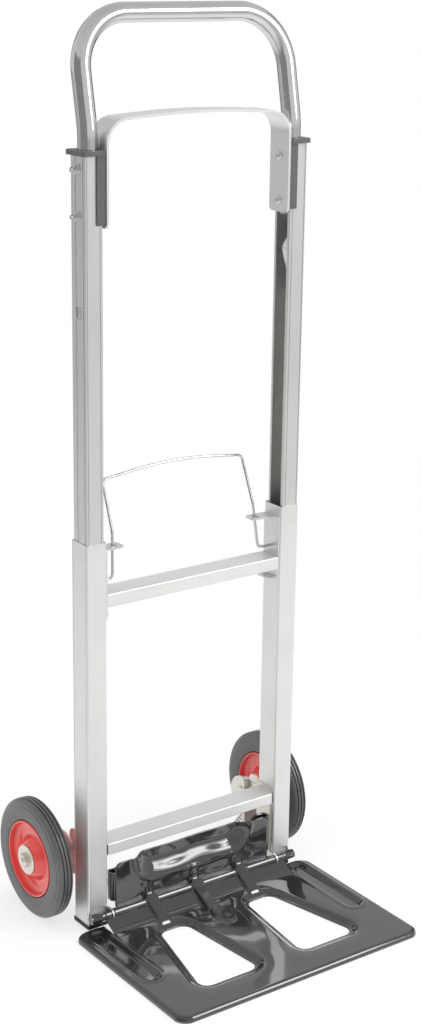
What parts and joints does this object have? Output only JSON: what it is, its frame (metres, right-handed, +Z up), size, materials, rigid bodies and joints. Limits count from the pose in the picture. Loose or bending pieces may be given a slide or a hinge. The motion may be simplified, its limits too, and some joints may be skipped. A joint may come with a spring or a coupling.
{
  "type": "folding hand truck",
  "caption": "Folding aluminium hand truck with a telescoping loop handle, pressed black toe plate, red-hubbed wheels that fold in behind the frame, and a wire bail",
  "frame": {"origin": "under the middle of the bounding box, on the floor", "axes": "+X to the right seen from the front, +Y to the back, +Z up"},
  "size_m": [0.3992, 0.388, 1.088],
  "materials": {
    "frame_aluminium": "satin extruded",
    "bow_aluminium": "satin rolled strip",
    "polished_tube": "polished",
    "cap_plastic": "fine texture",
    "foot_plastic": "moulded",
    "zinc_steel": "zinc plated",
    "spring_steel": "drawn wire and strip",
    "toe_black": "gloss",
    "tyre_rubber": "moulded",
    "hub_red": "gloss"
  },
  "bodies": {
    "frame": {"upright_left": "frame_aluminium", "upright_right": "frame_aluminium", "latch_plate_left": "zinc_steel", "latch_plate_right": "zinc_steel", "hinge_plate_left": "zinc_steel", "hinge_plate_right": "zinc_steel", "foot_cap_left": "foot_plastic", "foot_cap_right": "foot_plastic", "pivot_pin_left": "zinc_steel", "pivot_pin_right": "zinc_steel", "upper_crossbar": "frame_aluminium", "lower_crossbar": "frame_aluminium", "hinge_rod": "toe_black", "spring_strap": "zinc_steel"},
    "handle": {"channel_left": "frame_aluminium", "channel_right": "frame_aluminium", "cap_left": "cap_plastic", "cap_right": "cap_plastic", "grip_tube": "polished_tube", "bow": "bow_aluminium", "handle_bolts": "zinc_steel", "handle_washers": "zinc_steel", "handle_nuts": "zinc_steel", "leaf_rivets": "zinc_steel"},
    "bail": {"bail": "spring_steel"},
    "toe": {"toe_plate": "toe_black"},
    "snap_left": {"leaf_spring_left": "spring_steel", "snap_button_left": "spring_steel"},
    "bracket_left": {"wheel_bracket_left": "zinc_steel", "axle_left": "zinc_steel", "axle_sleeve_left": "zinc_steel", "axle_washer_left": "zinc_steel", "axle_nut_left": "zinc_steel"},
    "wheel_left": {"tyre_left": "tyre_rubber", "hub_outer_left": "hub_red", "hub_inner_left": "hub_red", "bush_left": "zinc_steel"},
    "spring_left": {"wheel_spring_left": "spring_steel"},
    "snap_right": {"leaf_spring_right": "spring_steel", "snap_button_right": "spring_steel"},
    "bracket_right": {"wheel_bracket_right": "zinc_steel", "axle_right": "zinc_steel", "axle_sleeve_right": "zinc_steel", "axle_washer_right": "zinc_steel", "axle_nut_right": "zinc_steel"},
    "wheel_right": {"tyre_right": "tyre_rubber", "hub_outer_right": "hub_red", "hub_inner_right": "hub_red", "bush_right": "zinc_steel"},
    "spring_right": {"wheel_spring_right": "spring_steel"}
  },
  "joints": [
    {"name": "handle_slide", "type": "slide", "parent": "frame", "child": "handle", "axis": [0, 0, 1], "range_m": [-0.35, 0]},
    {"name": "bail_tilt", "type": "hinge", "parent": "frame", "child": "bail", "pos_m": [0, 0.0563, 0.44], "axis": [1, 0, 0], "range_deg": [-5, 6]},
    {"name": "toe_fold", "type": "hinge", "parent": "frame", "child": "toe", "pos_m": [0, 0.0314, 0.02], "axis": [-1, 0, 0], "range_deg": [0, 90], "deforming": ["wheel_spring_left", "wheel_spring_right"]},
    {"name": "snap_press_left", "type": "hinge", "parent": "handle", "child": "snap_left", "pos_m": [-0.1496, 0.0504, 0.846], "axis": [0, -1, 0], "range_deg": [0, 1.8], "stiffness_Nm_per_rad": 4},
    {"name": "wheel_fold_left", "type": "hinge", "parent": "frame", "child": "bracket_left", "pos_m": [-0.1217, 0.091, 0.075], "axis": [0, 0, -1], "range_deg": [0, 90]},
    {"name": "wheel_spin_left", "type": "hinge", "parent": "bracket_left", "child": "wheel_left", "pos_m": [-0.178, 0.119, 0.075], "axis": [1, 0, 0], "continuous": true},
    {"name": "spring_swing_left", "type": "hinge", "parent": "frame", "child": "spring_left", "pos_m": [-0.095, 0.102, 0.02125], "axis": [-0.1821, 0.9601, -0.2123], "range_deg": [0, 27.2]},
    {"name": "snap_press_right", "type": "hinge", "parent": "handle", "child": "snap_right", "pos_m": [0.1496, 0.0504, 0.846], "axis": [0, 1, 0], "range_deg": [0, 1.8], "stiffness_Nm_per_rad": 4},
    {"name": "wheel_fold_right", "type": "hinge", "parent": "frame", "child": "bracket_right", "pos_m": [0.1217, 0.091, 0.075], "axis": [0, 0, 1], "range_deg": [0, 90]},
    {"name": "wheel_spin_right", "type": "hinge", "parent": "bracket_right", "child": "wheel_right", "pos_m": [0.178, 0.119, 0.075], "axis": [1, 0, 0], "continuous": true},
    {"name": "spring_swing_right", "type": "hinge", "parent": "frame", "child": "spring_right", "pos_m": [0.095, 0.102, 0.02125], "axis": [-0.1821, -0.9601, 0.2123], "range_deg": [0, 27.2]}
  ],
  "couplings": [
    {"joint": "wheel_fold_left", "follows": "toe_fold", "ratio": 1},
    {"joint": "spring_swing_left", "follows": "toe_fold", "ratio": 0.30208},
    {"joint": "wheel_fold_right", "follows": "toe_fold", "ratio": 1},
    {"joint": "spring_swing_right", "follows": "toe_fold", "ratio": 0.30208}
  ]
}
